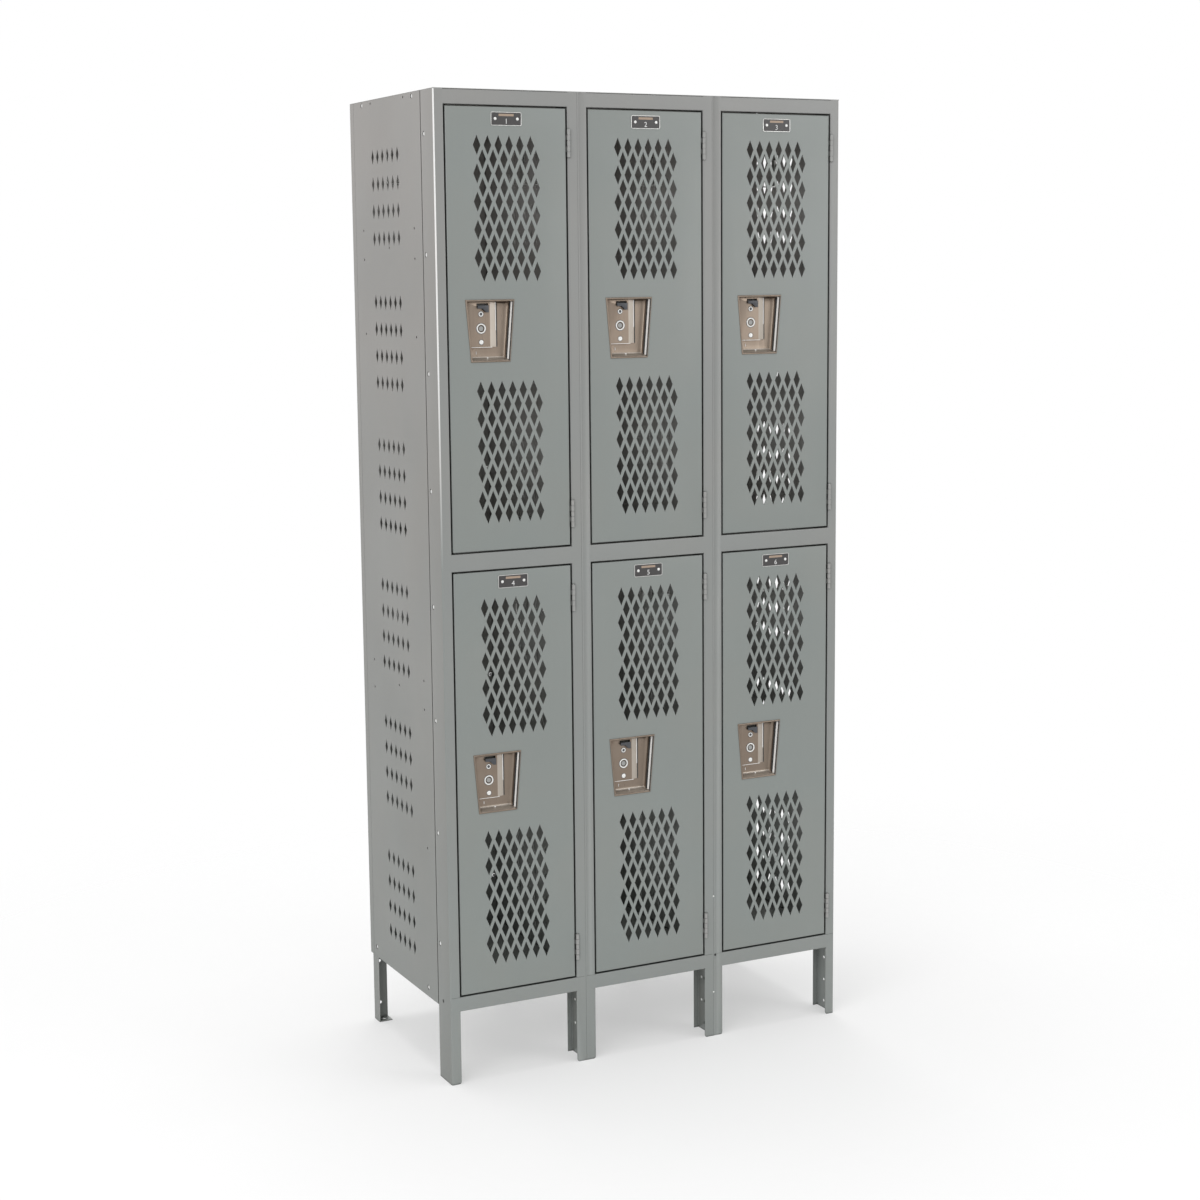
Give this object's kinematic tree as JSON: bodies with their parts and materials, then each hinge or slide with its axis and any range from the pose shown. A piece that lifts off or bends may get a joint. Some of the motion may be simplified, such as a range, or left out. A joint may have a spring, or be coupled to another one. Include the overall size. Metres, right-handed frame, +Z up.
{
  "type": "two-tier locker bank",
  "caption": "Vented steel locker bank in two tiers on legs, with hinged doors, recessed lift-handle cups, latch bars, number plates and coat hooks.",
  "frame": {"origin": "the middle of the footprint, on the floor", "axes": "+X to the right seen from the front, +Y from the doors to the back, +Z up"},
  "size_m": [0.9144, 0.4572, 1.9812],
  "materials": {
    "front_paint": "satin grey enamel",
    "body_paint": "satin warm grey enamel",
    "stainless": "brushed stainless",
    "number_plate": "black enamel on aluminium",
    "dark_steel": "dark satin",
    "zinc_plate": "zinc plated",
    "silencer_rubber": "matte"
  },
  "bodies": {
    "cabinet": {"left_face_frame": "front_paint", "left_tier_shelf": "body_paint", "left_bottom_pan": "body_paint", "middle_face_frame": "front_paint", "middle_tier_shelf": "body_paint", "middle_bottom_pan": "body_paint", "right_face_frame": "front_paint", "right_tier_shelf": "body_paint", "right_bottom_pan": "body_paint", "left_end_panel": "body_paint", "left_partition": "body_paint", "middle_partition": "body_paint", "right_end_panel": "body_paint", "top_panels": "body_paint", "back_panels": "body_paint", "side_posts": "front_paint", "rear_legs": "body_paint", "frame_hinge_leaves": "front_paint", "hinge_pins": "zinc_plate", "latch_hooks": "zinc_plate", "rubber_silencers": "silencer_rubber", "wall_hooks": "zinc_plate", "ceiling_hooks": "zinc_plate"},
    "door_left_lower": {"left_lower_door": "front_paint", "left_lower_pull_cup": "stainless", "left_lower_number_plate": "number_plate", "left_lower_hinge_leaves": "front_paint"},
    "latch_left_lower": {"left_lower_lift_handle": "dark_steel", "left_lower_latch_bar": "zinc_plate"},
    "door_left_upper": {"left_upper_door": "front_paint", "left_upper_pull_cup": "stainless", "left_upper_number_plate": "number_plate", "left_upper_hinge_leaves": "front_paint"},
    "latch_left_upper": {"left_upper_lift_handle": "dark_steel", "left_upper_latch_bar": "zinc_plate"},
    "door_middle_lower": {"middle_lower_door": "front_paint", "middle_lower_pull_cup": "stainless", "middle_lower_number_plate": "number_plate", "middle_lower_hinge_leaves": "front_paint"},
    "latch_middle_lower": {"middle_lower_lift_handle": "dark_steel", "middle_lower_latch_bar": "zinc_plate"},
    "door_middle_upper": {"middle_upper_door": "front_paint", "middle_upper_pull_cup": "stainless", "middle_upper_number_plate": "number_plate", "middle_upper_hinge_leaves": "front_paint"},
    "latch_middle_upper": {"middle_upper_lift_handle": "dark_steel", "middle_upper_latch_bar": "zinc_plate"},
    "door_right_lower": {"right_lower_door": "front_paint", "right_lower_pull_cup": "stainless", "right_lower_number_plate": "number_plate", "right_lower_hinge_leaves": "front_paint"},
    "latch_right_lower": {"right_lower_lift_handle": "dark_steel", "right_lower_latch_bar": "zinc_plate"},
    "door_right_upper": {"right_upper_door": "front_paint", "right_upper_pull_cup": "stainless", "right_upper_number_plate": "number_plate", "right_upper_hinge_leaves": "front_paint"},
    "latch_right_upper": {"right_upper_lift_handle": "dark_steel", "right_upper_latch_bar": "zinc_plate"}
  },
  "joints": [
    {"name": "left_lower_door_swing", "type": "hinge", "parent": "cabinet", "child": "door_left_lower", "pos_m": [-0.1716, -0.225, 0.61585], "axis": [0, 0, 1], "range_deg": [0, 120]},
    {"name": "left_lower_latch_lift", "type": "slide", "parent": "door_left_lower", "child": "latch_left_lower", "axis": [0, 0, 1], "range_m": [0, 0.01]},
    {"name": "left_upper_door_swing", "type": "hinge", "parent": "cabinet", "child": "door_left_upper", "pos_m": [-0.1716, -0.225, 1.51775], "axis": [0, 0, 1], "range_deg": [0, 120]},
    {"name": "left_upper_latch_lift", "type": "slide", "parent": "door_left_upper", "child": "latch_left_upper", "axis": [0, 0, 1], "range_m": [0, 0.01]},
    {"name": "middle_lower_door_swing", "type": "hinge", "parent": "cabinet", "child": "door_middle_lower", "pos_m": [0.1332, -0.225, 0.61585], "axis": [0, 0, 1], "range_deg": [0, 120]},
    {"name": "middle_lower_latch_lift", "type": "slide", "parent": "door_middle_lower", "child": "latch_middle_lower", "axis": [0, 0, 1], "range_m": [0, 0.01]},
    {"name": "middle_upper_door_swing", "type": "hinge", "parent": "cabinet", "child": "door_middle_upper", "pos_m": [0.1332, -0.225, 1.51775], "axis": [0, 0, 1], "range_deg": [0, 120]},
    {"name": "middle_upper_latch_lift", "type": "slide", "parent": "door_middle_upper", "child": "latch_middle_upper", "axis": [0, 0, 1], "range_m": [0, 0.01]},
    {"name": "right_lower_door_swing", "type": "hinge", "parent": "cabinet", "child": "door_right_lower", "pos_m": [0.438, -0.225, 0.61585], "axis": [0, 0, 1], "range_deg": [0, 120]},
    {"name": "right_lower_latch_lift", "type": "slide", "parent": "door_right_lower", "child": "latch_right_lower", "axis": [0, 0, 1], "range_m": [0, 0.01]},
    {"name": "right_upper_door_swing", "type": "hinge", "parent": "cabinet", "child": "door_right_upper", "pos_m": [0.438, -0.225, 1.51775], "axis": [0, 0, 1], "range_deg": [0, 120]},
    {"name": "right_upper_latch_lift", "type": "slide", "parent": "door_right_upper", "child": "latch_right_upper", "axis": [0, 0, 1], "range_m": [0, 0.01]}
  ]
}
